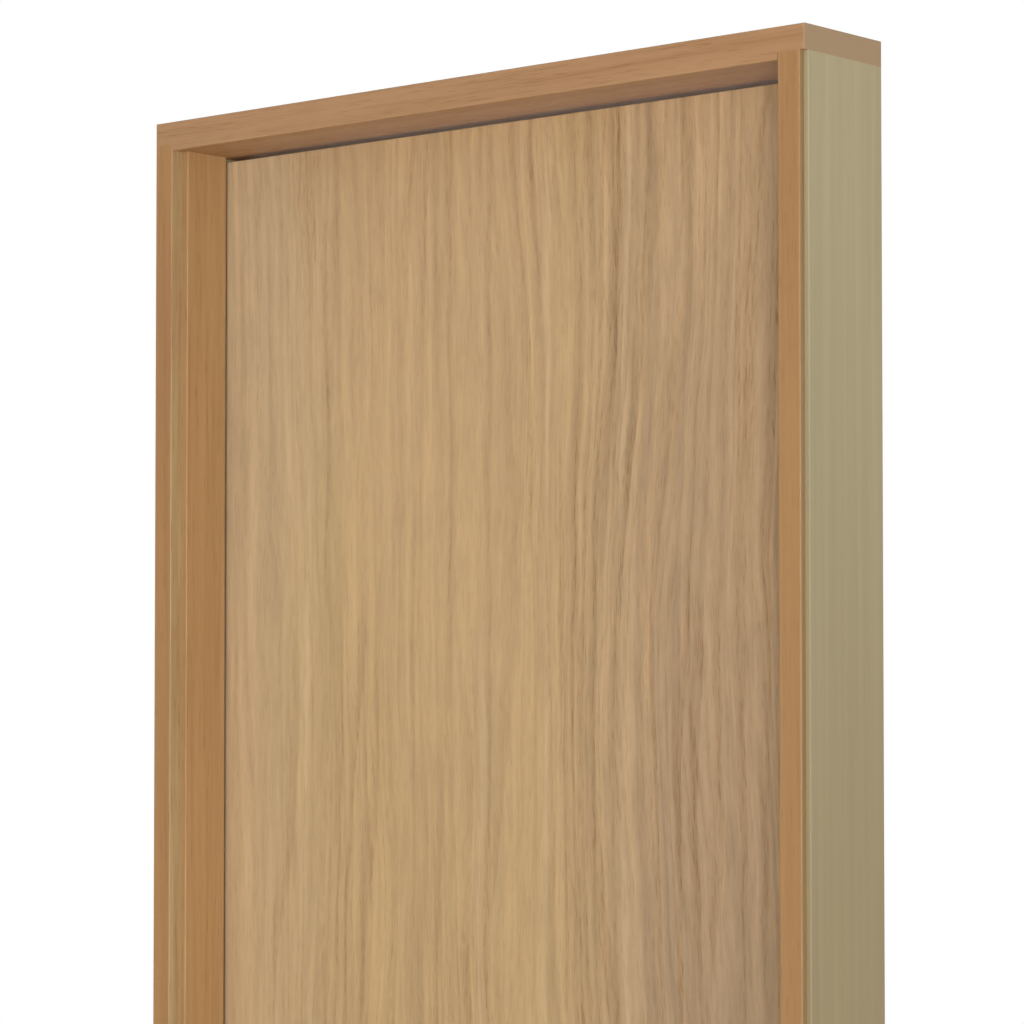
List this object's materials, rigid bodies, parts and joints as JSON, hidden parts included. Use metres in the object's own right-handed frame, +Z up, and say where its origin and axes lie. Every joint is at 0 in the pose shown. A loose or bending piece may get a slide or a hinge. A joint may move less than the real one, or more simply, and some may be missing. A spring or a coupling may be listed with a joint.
{
  "type": "hinged door set",
  "caption": "Timber door set: a hardwood frame with a plain head and planted jamb stops, and a flush oak-faced leaf on butt hinges that opens away from the stops.",
  "frame": {"origin": "centre of the hinge jamb's foot, on the floor", "axes": "+X from the hinge jamb to the lock jamb, +Y from the stop side to the side the leaf opens towards, +Z up"},
  "size_m": [1, 0.1575, 2.089],
  "materials": {
    "frame_hardwood": "reddish brown hardwood, satin clear finish",
    "pale_backing": "pale olive beige veneered board, matt",
    "oak_veneer": "straight grained oak veneer, satin",
    "oak_lipping": "solid oak edge strip, satin",
    "core_board": "pressed particle core, unfinished",
    "hinge_steel": "satin stainless steel"
  },
  "bodies": {
    "frame": {"head": "frame_hardwood", "hinge_jamb": "frame_hardwood", "lock_jamb": "frame_hardwood", "lock_side_backing": "pale_backing", "hinge_side_stop": "frame_hardwood", "lock_side_stop": "frame_hardwood", "bottom_hinge_frame_plate": "hinge_steel", "middle_hinge_frame_plate": "hinge_steel", "top_hinge_frame_plate": "hinge_steel", "bottom_hinge_pin": "hinge_steel", "middle_hinge_pin": "hinge_steel", "top_hinge_pin": "hinge_steel"},
    "leaf": {"leaf_core": "core_board", "front_skin": "oak_veneer", "back_skin": "oak_veneer", "hinge_edge_lipping": "oak_lipping", "lock_edge_lipping": "oak_lipping", "top_lipping": "oak_lipping", "bottom_lipping": "oak_lipping", "bottom_hinge_leaf_plate": "hinge_steel", "middle_hinge_leaf_plate": "hinge_steel", "top_hinge_leaf_plate": "hinge_steel"}
  },
  "joints": [
    {"name": "leaf_swing", "type": "hinge", "parent": "frame", "child": "leaf", "pos_m": [0.017, 0.079, 1.028], "axis": [0, 0, 1], "range_deg": [0, 180]}
  ]
}
